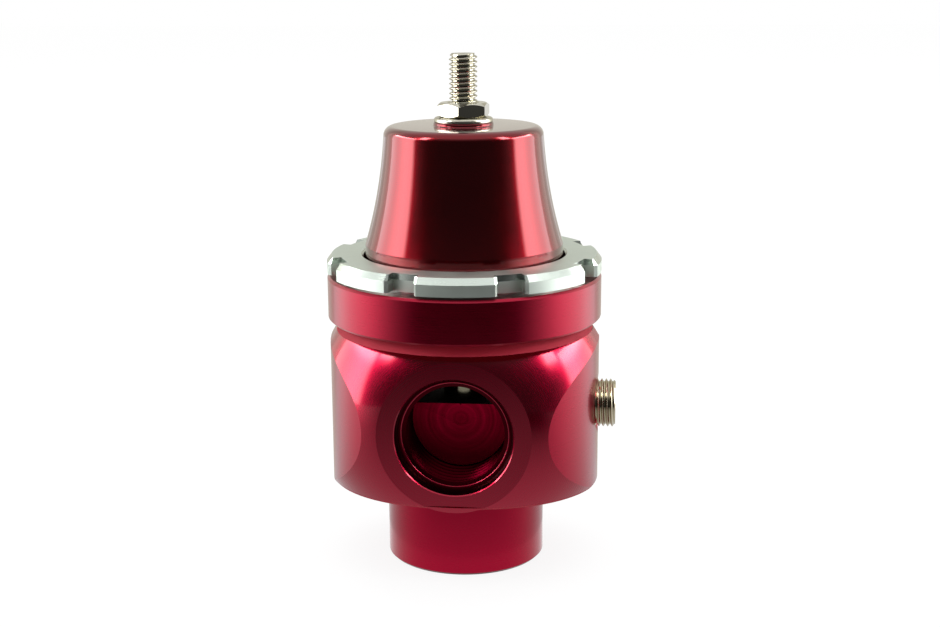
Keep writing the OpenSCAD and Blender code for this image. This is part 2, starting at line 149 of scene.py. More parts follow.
CAVITY_STEP = FOOT_TOP - 3
BOSS_FILLET = 0.3
SEAL_R = 4.45
SEAL_DEPTH = 1.4
SCREW_BORE = 3.0
SCREW_LEAD = 0.55
WASHER_BORE = 3.2
WASHER_EDGE = 0.6
WASHER_BREAK = 0.1
NOTCH_HALF = 2.95
NOTCH_DEPTH = 2.8
NOTCH_CORNER = 0.6
COLLAR_PLAY = 0.5
SKIRT_PLAY = 0.05
COLLAR_BEVEL_H = 1.3
COLLAR_BEVEL_W = 1.0
COLLAR_LIP = 0.4
PLUG_SINK = 7.0
PLUG_PROUD = 3.7
PLUG_LEAD = 0.6
PLUG_THREAD = 0.55
PLUG_PITCH = 0.94
SEAT_BREAK = 0.6
NIPPLE_Z = FOOT_TOP + 7.0
NIPPLE_SINK = 0.38
NIPPLE_HEX = 3.6
NIPPLE_FLAT = 4.0
NIPPLE_BORE = 1.0
SHANK_R = 2.98
SHANK_LENGTH = 4
BARB_R = 2.0
BARB_CREST = 2.6
BARB_TIP = 1.7
BARB_LENGTH = 9.0
THREAD_NOSE = 0.12

# How far the arc of the rounded flank is set back
FLANK_BACK = math.sqrt(FLANK_R ** 2 - (PORT_FLAT - FLANK_RING) ** 2) - PORT_FACE

# Steps of grids and searches, and what counts as equal, as none and as far off
FLANK_STEPS = 361
FLANK_ROWS = 40
ISLAND_STEPS = 49
HALVINGS = 60
WELD_STEPS = 2000
SAME = 1e-9
CROWDED = 0.003
TINY = 1e-6
FAR = 1e3

# Mirror images from side to side and from front to back
SIDEWAYS = np.array([-1, 1, 1])
BACKWARDS = np.array([1, -1, 1])

# The stage, in metres and degrees
VIEW_TURN = 6.2
FLOOR_HALF = 3.0
CARD_LIFT = 0.0004
MIDDLE_Z = 0.07
FRONT_AWAY = 0.9
BOX_AWAY = 0.85
REAR_AWAY = 1.2

# The lens as measured in the photograph, in pixels, and the sensor's width in millimetres
PICTURE_WIDE = 940
FOCAL_LENGTH = 1500
LENS_SHIFT = 5.3
SENSOR = 36.0


class RegulatorSizes(bpy.types.PropertyGroup):
    """Sizes a user may change on the visible pieces."""

    body_radius: bpy.props.FloatProperty(
        name="Body radius", description="Radius of the turned lower body", default=28.9 * MM, unit="LENGTH")
    thread_depth: bpy.props.FloatProperty(
        name="Thread depth", description="Depth of the adjuster screw's thread",
        default=0.6 * MM, unit="LENGTH")
    lug_count: bpy.props.IntProperty(
        name="Lugs", description="Number of lugs round the collar", default=8, min=4, max=12)
    lug_clock: bpy.props.FloatProperty(
        name="Lug angle", description="Turn of a lug's middle from the front port",
        default=math.radians(2.5), subtype="ANGLE")
    nut_clock: bpy.props.FloatProperty(
        name="Nut angle", description="Turn of a nut corner from the front port",
        default=math.radians(-4.5), subtype="ANGLE")
    turns_around: bpy.props.IntProperty(
        name="Steps around", description="Grid steps round a turned surface", default=192, min=48, max=512)


class RegulatorColours(bpy.types.PropertyGroup):
    """Colours and finishes of the visible pieces."""

    dyed_red: bpy.props.FloatVectorProperty(
        name="Anodised red", description="Colour of the dyed aluminium",
        default=(0.315, 0.001, 0.022), subtype="COLOR")
    collar_grey: bpy.props.FloatVectorProperty(
        name="Collar grey", description="Colour of the clear anodised collar",
        default=(0.575, 0.64, 0.585), subtype="COLOR")
    bright_steel: bpy.props.FloatVectorProperty(
        name="Bright steel", description="Colour of screw, nut and washer",
        default=(0.5, 0.48, 0.4), subtype="COLOR")
    nickel: bpy.props.FloatVectorProperty(
        name="Nickel", description="Colour of the gauge plug", default=(0.5, 0.45, 0.33), subtype="COLOR")
    brass: bpy.props.FloatVectorProperty(
        name="Brass", description="Colour of the reference nipple",
        default=(0.66, 0.45, 0.16), subtype="COLOR")
    rubber: bpy.props.FloatVectorProperty(
        name="Rubber", description="Colour of seals and diaphragm",
        default=(0.02, 0.02, 0.02), subtype="COLOR")
    satin: bpy.props.FloatProperty(
        name="Body roughness", description="Roughness of the satin body",
        default=0.30, min=0.0, max=1.0, subtype="FACTOR")
    polish: bpy.props.FloatProperty(
        name="Bonnet roughness", description="Roughness of the polished bonnet",
        default=0.21, min=0.0, max=1.0, subtype="FACTOR")


def quads_of(index):
    """Quads between the neighbouring rows and columns of a grid of point numbers."""
    return np.stack([index[:-1, :-1], index[1:, :-1], index[1:, 1:], index[:-1, 1:]], -1).reshape(-1, 4)


class Shell:
    """Collects grids of points, in millimetres, as patches of one mesh; edges between patches stay sharp."""

    def __init__(self):
        self.points = []
        self.quads = []
        self.tags = []
        self.finishes = []
        self.count = 0

    def add(self, grid, wrap=False, flip=False, finish=0):
        """Adds a grid of shape (rows, columns, 3) as quads; wrap joins the last row to the first."""
        rows, columns = grid.shape[:2]
        index = np.arange(rows * columns).reshape(rows, columns) + self.count
        if wrap:
            index = np.concatenate([index, index[:1]])
        quads = quads_of(index)
        self.quads.append(quads[:, ::-1] if flip else quads)
        self.points.append(grid.reshape(-1, 3))
        self.tags.append(np.full(len(quads), len(self.tags)))
        self.finishes.append(np.full(len(quads), finish))
        self.count += rows * columns

    def build(self, name, materials, crease=math.radians(40)):
        """Welds equal points, drops empty faces, and makes a smooth mesh with sharp edges between patches."""
        points = np.concatenate(self.points)
        quads = np.concatenate(self.quads)
        tags = np.concatenate(self.tags)
        finishes = np.concatenate(self.finishes)
        keys = np.round(points * WELD_STEPS).astype(np.int64)
        _, first, where = np.unique(keys, axis=0, return_index=True, return_inverse=True)
        points = points[first]
        quads = where.reshape(-1)[quads]
        real = quads != np.roll(quads, 1, axis=1)
        sizes = real.sum(1)
        opposite = (quads[:, 0] == quads[:, 2]) | (quads[:, 1] == quads[:, 3])
        keep = (sizes >= 3) & ~opposite
        quads, real, sizes, tags, finishes = (part[keep] for part in (quads, real, sizes, tags, finishes))
        mesh = bpy.data.meshes.new(name)
        corners = quads[real]
        mesh.vertices.add(len(points))
        mesh.vertices.foreach_set("co", (points * MM).astype(np.float32).ravel())
        mesh.loops.add(len(corners))
        mesh.loops.foreach_set("vertex_index", corners.astype(np.int32))
        mesh.polygons.add(len(sizes))
        mesh.polygons.foreach_set("loop_start", (np.cumsum(sizes) - sizes).astype(np.int32))
        mesh.polygons.foreach_set("loop_total", sizes.astype(np.int32))
        mesh.polygons.foreach_set("material_index", finishes.astype(np.int32))
        mesh.polygons.foreach_set("use_smooth", np.ones(len(sizes), bool))
        mesh.update(calc_edges=True)
        mesh.set_sharp_from_angle(angle=crease)
        edge_of = np.zeros(len(corners), np.int32)
        mesh.loops.foreach_get("edge_index", edge_of)
        corner_tag = np.repeat(tags, sizes)
        low = np.full(len(mesh.edges), len(self.tags))
        high = np.full(len(mesh.edges), -1)
        np.minimum.at(low, edge_of, corner_tag)
        np.maximum.at(high, edge_of, corner_tag)
        sharp = np.zeros(len(mesh.edges), bool)
        mesh.edges.foreach_get("use_edge_sharp", sharp)
        mesh.edges.foreach_set("use_edge_sharp", sharp | (low < high))
        for material in materials:
            mesh.materials.append(material)
        piece = bpy.data.objects.new(name, mesh)
        bpy.context.scene.collection.objects.link(piece)
        return piece


def settle(piece, body, slot, *nodes):
    """The piece rides on a body and stands for its CAD nodes, which it hides; slot is not used."""
    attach(piece, body)
    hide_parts(*nodes)
    return piece


def sizes():
    """The scene's size settings."""
    return bpy.context.scene.regulator_sizes


def colours():
    """The scene's colour settings."""
    return bpy.context.scene.regulator_colours


def angles(count):
    """Evenly spaced angles round a full turn, without the repeated last one."""
    return np.linspace(0, TURN, count, endpoint=False)


def polar(radius, angle, height):
    """Points at a radius and an angle round the Z axis and at a height, the three broadcast together."""
    x, y, z = np.broadcast_arrays(radius * np.cos(angle), radius * np.sin(angle), height)
    return np.stack([x, y, z], -1)


def turned(radius, height, around):
    """Surface of revolution: each profile point (radius, height) carried round the Z axis."""
    return polar(radius, np.asarray(around)[:, None], height)


def along_y(grid, back=False):
    """Turns a shape about Z into one about the side port's axis: height becomes the way out."""
    x, y, h = grid[..., 0], grid[..., 1], grid[..., 2]
    side = 1.0 if back else -1.0
    return np.stack([-side * x, side * h, PORT_Z + y], -1)


def along_x(grid):
    """Turns a shape about Z into one about the gauge port's axis: its height becomes x."""
    return np.stack([grid[..., 2], grid[..., 0], GAUGE_Z + grid[..., 1]], -1)


def facets(*points):
    """One straight run between each two neighbouring profile points, so that every corner stays sharp."""
    return list(zip(points[:-1], points[1:]))


def add_turned(shell, runs, around, place=None, finish=0):
    """Each run of (radius, height) points becomes a turned patch; the solid lies on the run's left."""
    for run in runs:
        r, h = np.array(run, float).T
        grid = turned(r, h, around)
        shell.add(place(grid) if place else grid, wrap=True, finish=finish)


def arc(centre, radius, start, end, steps):
    """Points of a circular arc in the profile plane, angles in degrees."""
    a = np.radians(np.linspace(start, end, steps))
    return [(centre[0] + radius * c, centre[1] + radius * s) for c, s in zip(np.cos(a), np.sin(a))]


def hollow_arc(low, high, radius, steps):
    """Points of the hollow arc of a given radius between two profile points, its centre on the outer side."""
    p, q = np.array(low, float), np.array(high, float)
    step = q - p
    length = np.hypot(*step)
    outward = np.array([step[1], -step[0]]) / length
    centre = (p + q) / 2 + outward * math.sqrt(radius ** 2 - length ** 2 / 4)
    a = math.atan2(*(p - centre)[::-1])
    b = math.atan2(*(q - centre)[::-1])
    turn = (b - a + math.pi) % TURN - math.pi
    t = a + turn * np.linspace(0, 1, steps)
    return list(zip(centre[0] + radius * np.cos(t), centre[1] + radius * np.sin(t)))


def thread_grid(major, depth, pitch, low, high, around, lead=0.0):
    """Screw thread: height is profile distance plus pitch times the turn, radius a 60 degree vee.

    The crest is rounded. A negative depth cuts outwards, as in a nut; lead chamfers both ends."""
    share = np.array([0.0, 0.035, 0.07, 0.1039, 0.25, 0.42, 0.58, 0.75, 0.8961, 0.93, 0.965])
    off = pitch * np.minimum(share, 1 - share)
    nose = THREAD_NOSE * pitch
    edge = nose * math.sin(THREAD_SLOPE)
    arch = nose - np.sqrt(np.maximum(nose ** 2 - off ** 2, 0))
    fall = nose * (1 - math.cos(THREAD_SLOPE)) + (off - edge) * math.tan(THREAD_SLOPE)
    cut = np.minimum(np.where(off < edge, arch, fall) / abs(depth), 1)
    turns = int(math.ceil((high - low) / pitch)) + 2
    along = ((np.arange(-1, turns)[:, None] + share) * pitch).ravel()
    deep = np.tile(cut, turns + 1)
    a = np.append(np.asarray(around), around[0] + TURN)[:, None]
    height = np.clip(low + along[None, :] + pitch * ((a - around[0]) / TURN - 1), low, high)
    radius = major - depth * deep[None, :]
    if lead:
        end = np.minimum(height - low, high - height)
        radius = np.minimum(radius, major - lead + end)
    return polar(radius, a, height)


def hexagon(steps, flat, clock):
    """Angles round a hexagon, corners among them, and its radius there.

    The radius is the flat's distance over the cosine of the angle from the flat's middle."""
    side = math.pi / 3
    a = np.concatenate([np.linspace(-side / 2, side / 2, steps + 1)[:-1] + k * side for k in range(6)])
    folded = (a + side / 2) % side - side / 2
    return a + clock + side / 2, flat / np.cos(folded)


def add_six(shell, wall, steps):
    """Adds a ring of points as six sides, each a patch of its own."""
    closed = np.concatenate([wall, wall[:1]])
    for k in range(6):
        shell.add(closed[k * steps:(k + 1) * steps + 1])


def add_hex_nut(shell, flat, low, high, bore, clock, place=lambda grid: grid):
    """Hexagon whose corners a 34 degree cone turns off at both ends, with a chamfered bore."""
    steps = 12
    a, r = hexagon(steps, flat, clock)
    end = flat * NUT_TURNED
    drop = (r - end) * math.tan(NUT_SLOPE)
    add_six(shell, place(np.stack([polar(r, a, low + drop), polar(r, a, high - drop)], 1)), steps)
    cone = np.linspace(0, 1, 4)
    top = np.stack([polar(r + (end - r) * t, a, high - drop * (1 - t)) for t in cone], 1)
    bottom = np.stack([polar(r + (end - r) * t, a, low + drop * (1 - t)) for t in cone], 1)
    shell.add(place(top), wrap=True)
    shell.add(place(bottom), wrap=True, flip=True)
    mouth = bore + BORE_BREAK
    add_turned(shell, facets(
        (end, high), (mouth, high), (bore, high - BORE_BREAK),
        (bore, low + BORE_BREAK), (mouth, low), (end, low)), a, place)


def add_hex_socket(shell, flat, rim, top, depth, clock, place=lambda grid: grid):
    """Flat end with a hexagonal socket: a ring out to rim, six walls and a drilled cone at the bottom."""
    steps = 8
    a, r = hexagon(steps, flat, clock)
    foot = top - depth
    levels = [(rim, top), (r + FINE_BREAK, top), (r, top - FINE_BREAK), (r, foot), (0, foot - flat * 0.5)]
    rings = [polar(reach, a, height) for reach, height in levels]
    face, bevel, wall, cone = (place(np.stack(pair, 1)) for pair in facets(*rings))
    for strip in (face, bevel, cone):
        shell.add(strip, wrap=True)
    add_six(shell, wall, steps)


def put(node, **values):
    """Sets a node's inputs by name, with an underscore for a blank."""
    for key, value in values.items():
        node.inputs[key.replace("_", " ")].default_value = value


class Nodes:
    """A short way to wire a material's nodes."""

    def __init__(self, name):
        self.material = bpy.data.materials.new(name)
        self.material.use_nodes = True
        self.tree = self.material.node_tree
        self.shader = self.tree.nodes["Principled BSDF"]

    def make(self, kind, **settings):
        """A node of that kind with its plain settings."""
        node = self.tree.nodes.new(kind)
        for key, value in settings.items():
            setattr(node, key, value)
        return node

    def link(self, out, into):
        """Joins an output socket to an input socket."""
        self.tree.links.new(out, into)
        return into.node

    def maths(self, operation, first, second=None):
        """A Math node on sockets or numbers."""
        node = self.make("ShaderNodeMath", operation=operation)
        for slot, value in enumerate((first, second)):
            if hasattr(value, "links"):
                self.link(value, node.inputs[slot])
            elif value is not None:
                node.inputs[slot].default_value = value
        return node.outputs[0]

    def relief(self, height, strength, distance):
        """Bump of that height, in millimetres, on the material's own shader."""
        bump = self.make("ShaderNodeBump")
        put(bump, Strength=strength, Distance=distance * MM)
        self.link(height, bump.inputs["Height"])
        self.link(bump.outputs[0], self.shader.inputs["Normal"])

    def surface(self, shader):
        """Makes a shader's output the material's surface."""
        self.link(shader.outputs[0], self.tree.nodes["Material Output"].inputs["Surface"])


def ring_distance(nodes, lines):
    """A length that is constant along a machining line: height, or distance from the port or main axis."""
    where = nodes.make("ShaderNodeTexCoord").outputs["Object"]
    split = nodes.make("ShaderNodeSeparateXYZ")
    nodes.link(where, split.inputs[0])
    x, y, z = split.outputs
    if lines == "height":
        return where, z
    other = nodes.maths("SUBTRACT", z, PORT_Z * MM) if lines == "port" else y
    squares = nodes.maths("ADD", nodes.maths("POWER", x, 2.0), nodes.maths("POWER", other, 2.0))
    return where, nodes.maths("SQRT", squares)


def machined(name, colour, roughness, lines="height", coat=1.5, shine=0.1, bump=0.04,
             spread=0.06, pitch=0.16, speckle=0.02, clear=0.0, metal=1.0):
    """Metal with fine machining lines: noise along one length, which also varies the roughness, and wear."""
    nodes = Nodes(name)
    put(nodes.shader, Base_Color=(*colour, 1), Metallic=metal)
    put(nodes.shader, Coat_Weight=clear, Coat_IOR=coat, Coat_Roughness=shine)
    where, length = ring_distance(nodes, lines)
    fine = nodes.make("ShaderNodeTexNoise", noise_dimensions="1D")
    put(fine, Scale=1 / (pitch * MM), Detail=3)
    nodes.link(length, fine.inputs["W"])
    broad = nodes.make("ShaderNodeTexNoise")
    put(broad, Scale=260, Detail=4)
    nodes.link(where, broad.inputs["Vector"])
    grain = nodes.maths("MULTIPLY", nodes.maths("SUBTRACT", broad.outputs["Fac"], 0.5), speckle * 4)
    line = nodes.maths("MULTIPLY", nodes.maths("SUBTRACT", fine.outputs["Fac"], 0.5), spread * 2)
    rough = nodes.maths("ADD", nodes.maths("ADD", line, grain), roughness)
    nodes.link(rough, nodes.shader.inputs["Roughness"])
    nodes.relief(fine.outputs["Fac"], bump, 0.02)
    return nodes.material


def moulded(name, colour, roughness):
    """Dull rubber with a soft grain."""
    nodes = Nodes(name)
    put(nodes.shader, Base_Color=(*colour, 1))
    where = nodes.make("ShaderNodeTexCoord").outputs["Object"]
    grain = nodes.make("ShaderNodeTexNoise")
    put(grain, Scale=900)
    nodes.link(where, grain.inputs["Vector"])
    rough = nodes.maths("ADD", nodes.maths("MULTIPLY", grain.outputs["Fac"], 0.2), roughness)
    nodes.link(rough, nodes.shader.inputs["Roughness"])
    nodes.relief(grain.outputs["Fac"], 0.2, 0.05)
    return nodes.material


def finish(kind):
    """The named finish, made once."""
    found = bpy.data.materials.get(kind)
    if found:
        return found
    c = colours()
    if kind == "seal_rubber_finish":
        return moulded(kind, c.rubber, 0.55)
    red = np.array(c.dyed_red)
    looks = {
        "turned_red": (red, c.satin, "height", dict(clear=1.0, coat=1.27, shine=0.12, bump=0.035)),
        "faced_red": (red, c.satin - 0.04, "port", dict(clear=1.0, coat=1.36, shine=0.1, bump=0.03)),
        # end_red is the body's red at one and a half times: painted light on the side ports' end walls
        "end_red": (red * 1.5, 0.5, "port", dict(bump=0.5, spread=0.3, pitch=0.9)),
        # well_red is the red at a tenth and not metallic: painted shade on the well floor
        "well_red": (red * 0.1, 0.8, "height", dict(bump=0.05, metal=0.0)),
        "stub_red": (red, c.satin, "height", dict(clear=1.0, coat=1.16, shine=0.12, bump=0.04)),
        # thread_red is the red at 0.13: painted shade in the side port threads and their lead-in
        "thread_red": (red * 0.13, 0.3, "port", dict(bump=0.02)),
        "groove_red": ((0.29, 0.003, 0.018), 0.7, "height", dict(bump=0.1, metal=0.5)),
        # inner_red is the red at a fifth: painted shade in the seal seats, return port, passage, chamber walls
        # and on the stub's bottom chamfer
        "inner_red": (red * 0.2, 0.3, "port", dict(bump=0.2, pitch=0.5)),
        "bonnet_red": (red * (0.47, 1.1, 0.22), c.polish, "height",
                       dict(clear=1.0, coat=1.38, shine=0.06, bump=0.03, spread=0.03)),
        "collar_satin": (c.collar_grey, 0.23, "axis", dict(bump=0.08, speckle=0.05)),
        "collar_faced": (c.collar_grey, 0.44, "axis", dict(bump=0.1, speckle=0.05)),
        # seat_steel_finish is steel made brighter and warmer than the screw's: steel colour with a painted
        # reflection on the seat tube
        "seat_steel_finish": ((0.62, 0.57, 0.4), 0.17, "height", dict(bump=0.03)),
        "bright_steel_finish": (c.bright_steel, 0.1, "height", dict(bump=0.02, spread=0.02, speckle=0.005)),
        "ground_steel_finish": (c.bright_steel, 0.24, "height", dict(bump=0.05)),
        "nickel_plug_finish": (c.nickel, 0.08, "height", dict(bump=0.02, spread=0.02)),
        "plain_aluminium_finish": ((0.75, 0.75, 0.74), 0.3, "axis", dict(bump=0.06)),
        "plain_brass_finish": (c.brass, 0.22, "height", dict(bump=0.04)),
    }
    colour, roughness, lines, settings = looks[kind]
    return machined(kind, colour, roughness, lines, **settings)


def flank_depth(rho):
    """Half depth of the rounded flank at a distance rho from the port axis: a set-back circular arc."""
    return np.sqrt(np.maximum(FLANK_R ** 2 - (rho - FLANK_RING) ** 2, 0)) - FLANK_BACK


def flank_reach():
    """Largest distance from the port axis, where front and rear flank meet."""
    return FLANK_RING + math.sqrt(FLANK_R ** 2 - FLANK_BACK ** 2)


def flank_limit(theta, radius):
    """Distance from the port axis at which the flank ends in direction theta from straight up.

    The least of: the shoulder plane, the bottom plane, the ridge with the rear flank, and the turned
    cylinder, found by halving."""
    c, s = np.cos(theta), np.sin(theta)
    top = np.where(c > TINY, (SHOULDER_Z - PORT_Z) / np.maximum(c, TINY), FAR)
    low = np.where(c < -TINY, (PORT_Z - BODY_Z - BREAK) / np.maximum(-c, TINY), FAR)
    limit = np.minimum(np.minimum(top, low), flank_reach())
    inner = np.full_like(theta, PORT_FLAT)
    outer = limit.copy()
    outside = (limit * s) ** 2 + flank_depth(limit) ** 2 > radius ** 2
    for _ in range(HALVINGS):
        middle = (inner + outer) / 2
        beyond = (middle * s) ** 2 + flank_depth(middle) ** 2 > radius ** 2
        outer = np.where(beyond, middle, outer)
        inner = np.where(beyond, inner, middle)
    return np.where(outside, (inner + outer) / 2, limit), outside


def flank_angles(radius):
    """Directions round the port axis, with the corners where the flank's edge meets another surface."""
    reach = flank_reach()
    tip = math.asin(min(radius / reach, 1.0))
    crest = math.acos((SHOULDER_Z - PORT_Z) / reach)
    a, b = math.pi / 2, math.pi - 1e-4
    for _ in range(HALVINGS):
        middle = (a + b) / 2
        if flank_limit(np.array([middle]), radius)[1][0]:
            a = middle
        else:
            b = middle
    corners = np.array([crest, tip, a])
    even = np.linspace(0, math.pi, FLANK_STEPS)
    half = np.unique(np.round(np.concatenate([even, corners]), 9))
    near = np.abs(half[:, None] - corners[None, :]).min(1)
    half = half[(near > CROWDED) | (near < SAME)]
    return half, crest, tip, a


class REGULATOR_OT_body(bpy.types.Operator):
    """Builds the red body: stub, rounded lower body with its ports, neck and rim."""

    bl_idname = "regulator.body"
    bl_label = "Body"

    def execute(self, context):
        around = angles(sizes().turns_around)
        radius = sizes().body_radius / MM
        shell = Shell()
        turned_red, faced, inside, groove, end, thread, stub, well = range(8)
        port_turns, stub_turns, neck_turns = self.lower_body(shell, radius, turned_red, faced, stub, groove)
        self.turned_ends(shell, stub_turns, neck_turns, stub, turned_red, groove, inside)
        for back in (False, True):
            self.side_port(shell, port_turns, back, faced, inside, end, thread)
        self.return_port(shell, stub_turns, turned_red, inside)
        self.chamber(shell, around, inside, well)
        # inner, thread and well name darker copies of the red as painted shade; end names a brighter copy as
        # painted light on the end walls
        reds = ("turned", "faced", "inner", "groove", "end", "thread", "stub", "well")
        piece = shell.build("body_shell", [finish(name + "_red") for name in reds])
        settle(piece, "housing", "red_anodised", "body")
        return {"FINISHED"}

    def turned_ends(self, shell, stub_turns, neck_turns, stub, mark, groove, inside):
        """Stub, neck, rim, collar bore and ledge as turned runs."""
        add_turned(shell, facets((STUB_R, BREAK), (STUB_R, BODY_Z)), stub_turns, finish=stub)
        # The bottom chamfer takes the dark inner red: a painted contact shadow along the stub's foot
        add_turned(shell, facets((STUB_R - BREAK, 0), (STUB_R, BREAK)), stub_turns, finish=inside)
        add_turned(shell, facets(
            (NECK_R + NECK_FLARE, SHOULDER_Z), (NECK_R, SHOULDER_Z + NECK_FLARE_H),
            (NECK_R, RIM_Z), (RIM_R - BREAK, RIM_Z)), neck_turns, finish=groove)
        add_turned(shell, facets(
            (RIM_R - BREAK, RIM_Z), (RIM_R, RIM_Z + BREAK), (RIM_R, RIM_TOP - BREAK),
            (RIM_R - BREAK, RIM_TOP), (RIM_BORE, RIM_TOP), (RIM_BORE, LEDGE_Z),
            (CHAMBER_R, LEDGE_Z)), neck_turns, finish=mark)

    def lower_body(self, shell, radius, mark, faced, stub, groove):
        """Flanks turned about the port axis, cylinder islands between them, shoulder ring and underside."""
        half, crest, tip, corner = flank_angles(radius)
        theta = np.concatenate([half, TURN - half[-2:0:-1]])
        limit, _ = flank_limit(theta, radius)
        rho = PORT_FLAT + (limit - PORT_FLAT)[:, None] * np.linspace(0, 1, FLANK_ROWS)
        x = rho * np.sin(theta)[:, None]
        z = PORT_Z + rho * np.cos(theta)[:, None]
        front = np.stack([x, -flank_depth(rho), z], -1)
        shell.add(front, wrap=True, flip=True, finish=faced)
        shell.add(front * BACKWARDS, wrap=True, finish=faced)
        ring = np.stack([np.sin(theta), 0 * theta, np.cos(theta)], -1)
        face = np.stack([ring * (SEAT_MOUTH + MOUTH_BREAK), ring * PORT_FLAT], 1)
        for side in (-1, 1):
            flat = face + np.array([0, side * PORT_FACE, PORT_Z])
            shell.add(flat, wrap=True, flip=side < 0, finish=faced)
        edge = front[:len(half), -1]
        island = (half >= tip - SAME) & (half <= corner + SAME)
        self.islands(shell, edge[island][::-1], radius, mark)
        stub_turns = self.underside(shell, edge[half >= corner - SAME], radius, stub, groove)
        neck_turns = self.shoulder(shell, edge[half <= crest + SAME], mark)
        return theta + math.pi / 2, stub_turns, neck_turns

    def islands(self, shell, right, radius, mark):
        """Cylinder left between front and rear flank: at each height an arc from one edge to the other.

        The right one is drawn as a ring round the gauge port, which follows with its bore."""
        reach = np.arcsin(np.clip(-right[:, 1] / radius, 0, 1))
        reach[-1] = 0.0
        z = right[:, 2]
        share = np.linspace(-1, 1, ISLAND_STEPS)
        shell.add(polar(radius, reach[:, None] * share, z[:, None]) * SIDEWAYS, finish=mark)
        low = np.stack([reach[0] * share, np.full_like(share, z[0])], -1)[1:-1]
        rise = np.stack([reach, z], -1)
        outline = np.concatenate([rise, (rise * (-1, 1))[::-1][1:], low])
        turn = np.arctan2(outline[:, 1] - GAUGE_Z, outline[:, 0] * radius)
        hole_y = GAUGE_SINK * np.cos(turn)
        hole = np.stack([np.arcsin(hole_y / radius), GAUGE_Z + GAUGE_SINK * np.sin(turn)], -1)
        t = np.linspace(0, 1, 24)[None, :, None]
        flat = hole[:, None, :] + (outline - hole)[:, None, :] * t
        grid = polar(radius, flat[..., 0], flat[..., 1])
        shell.add(grid, wrap=True, flip=True, finish=mark)
        deep, rim = radius - GAUGE_DEPTH, radius - (GAUGE_SINK - GAUGE_R)
        bore = [along_x(polar(r, turn, x)) for r, x in ((0, deep), (GAUGE_R, deep), (GAUGE_R, rim))]
        for pair in facets(*bore, grid[:, 0]):
            shell.add(np.stack(pair, 1), wrap=True, flip=True, finish=mark)

    def underside(self, shell, low_front, radius, mark, groove):
        """Bottom outline, its small bevel and the plane in to the stub, as one ring of matched points."""
        right_end = low_front[0]
        reach = math.asin(min(max(-right_end[1] / radius, 0), 1))
        island = polar(radius, reach * np.linspace(-1, 1, ISLAND_STEPS)[1:-1], right_end[2])
        front = np.concatenate([(low_front * SIDEWAYS)[:-1], low_front[::-1]])
        rear = (front * BACKWARDS)[::-1]
        loop = np.concatenate([front, island, rear, (island * SIDEWAYS)[::-1]])
        spin = np.arctan2(loop[:, 1], loop[:, 0])
        inset = polar(np.hypot(loop[:, 0], loop[:, 1]) - BREAK, spin, BODY_Z)
        shell.add(np.stack([inset, loop], 1), wrap=True, finish=groove)
        shell.add(np.stack([polar(STUB_R, spin, BODY_Z), inset], 1), wrap=True, finish=mark)
        return spin

    def shoulder(self, shell, top_front, mark):
        """Plane ring at the shoulder between the flank's top outline and the neck's flare."""
        front = np.concatenate([(top_front * SIDEWAYS)[::-1][:-1], top_front])
        rear = (front * BACKWARDS)[::-1]
        loop = np.concatenate([front, rear[1:-1]])
        spin = np.arctan2(loop[:, 1], loop[:, 0])
        neck = polar(NECK_R + NECK_FLARE, spin, SHOULDER_Z)
        shell.add(np.stack([loop, neck], 1), wrap=True, finish=mark)
        return spin

    def side_port(self, shell, around, back, faced, inside, end, thread):
        """Seal seat, rounded lip, threaded bore cut open to the well near its end, and the dished end wall."""
        def place(grid):
            return along_y(grid, back)

        def turned_in(grid):
            return place(grid[::-1])

        step = PORT_FACE - SEAT_DEPTH
        mouth = (SEAT_MOUTH, PORT_FACE - MOUTH_BREAK)
        add_turned(shell, facets(mouth, (SEAT_MOUTH + MOUTH_BREAK, PORT_FACE)), around, turned_in, faced)
        add_turned(shell, facets((PORT_LIP, step), (SEAT_INNER, step), mouth), around, turned_in, inside)
        lead = facets((PORT_MINOR, step - LEAD_IN), (PORT_LIP - LIP_EDGE, step - LIP_EDGE))
        add_turned(shell, lead, around, turned_in, thread)
        lip = arc((PORT_LIP, step - LIP_EDGE), LIP_EDGE, 180, 90, 5)
        add_turned(shell, [lip], around, place, faced)
        depth = PORT_MINOR - PORT_MAJOR
        grid = thread_grid(PORT_MINOR, depth, PORT_PITCH, PORT_END, step - LEAD_IN, around)
        up = grid[..., 1] > FLOOR_Z - PORT_Z
        well = np.sqrt(np.maximum(WELL_R ** 2 - grid[..., 0] ** 2, 0))
        grid[..., 2] = np.where(up, np.maximum(grid[..., 2], well), grid[..., 2])
        shell.add(place(grid), flip=True, finish=thread)
        a = np.linspace(0, TURN, 181)
        s = np.sin(a)
        chord = np.where(s > TINY, (FLOOR_Z - PORT_Z + END_DROP) / np.maximum(s, TINY), FAR)
        rim = END_DROP * s + np.sqrt((END_DROP * s) ** 2 + PORT_MAJOR ** 2 - END_DROP ** 2)
        share = np.linspace(0, 1, 12)
        reach = share * np.minimum(chord, rim)[:, None]
        wall = polar(reach, a[:, None], PORT_END - PORT_DISH * (1 - share)) - np.array([0, END_DROP, 0])
        shell.add(place(wall), flip=True, finish=end)

    def return_port(self, shell, around, mark, inside):
        """Underside of the stub with its seal seat, thread and the passage up to the valve seat."""
        start = SEAT_DEPTH + RETURN_LEAD
        add_turned(shell, facets(
            (PORT_MINOR, start), (RETURN_LIP, SEAT_DEPTH), (SEAT_INNER, SEAT_DEPTH),
            (SEAT_MOUTH, 0), (STUB_R - BREAK, 0)), around, finish=mark)
        grid = thread_grid(PORT_MINOR, PORT_MINOR - PORT_MAJOR, PORT_PITCH, start, RETURN_DEPTH, around)
        shell.add(grid, flip=True, finish=inside)
        add_turned(shell, facets(
            (VALVE_SEAT_R, FLOOR_Z), (VALVE_SEAT_R, SEAT_FOOT), (PASSAGE_R, SEAT_FOOT),
            (PASSAGE_R, RETURN_DEPTH), (PORT_MAJOR, RETURN_DEPTH)), around, finish=inside)

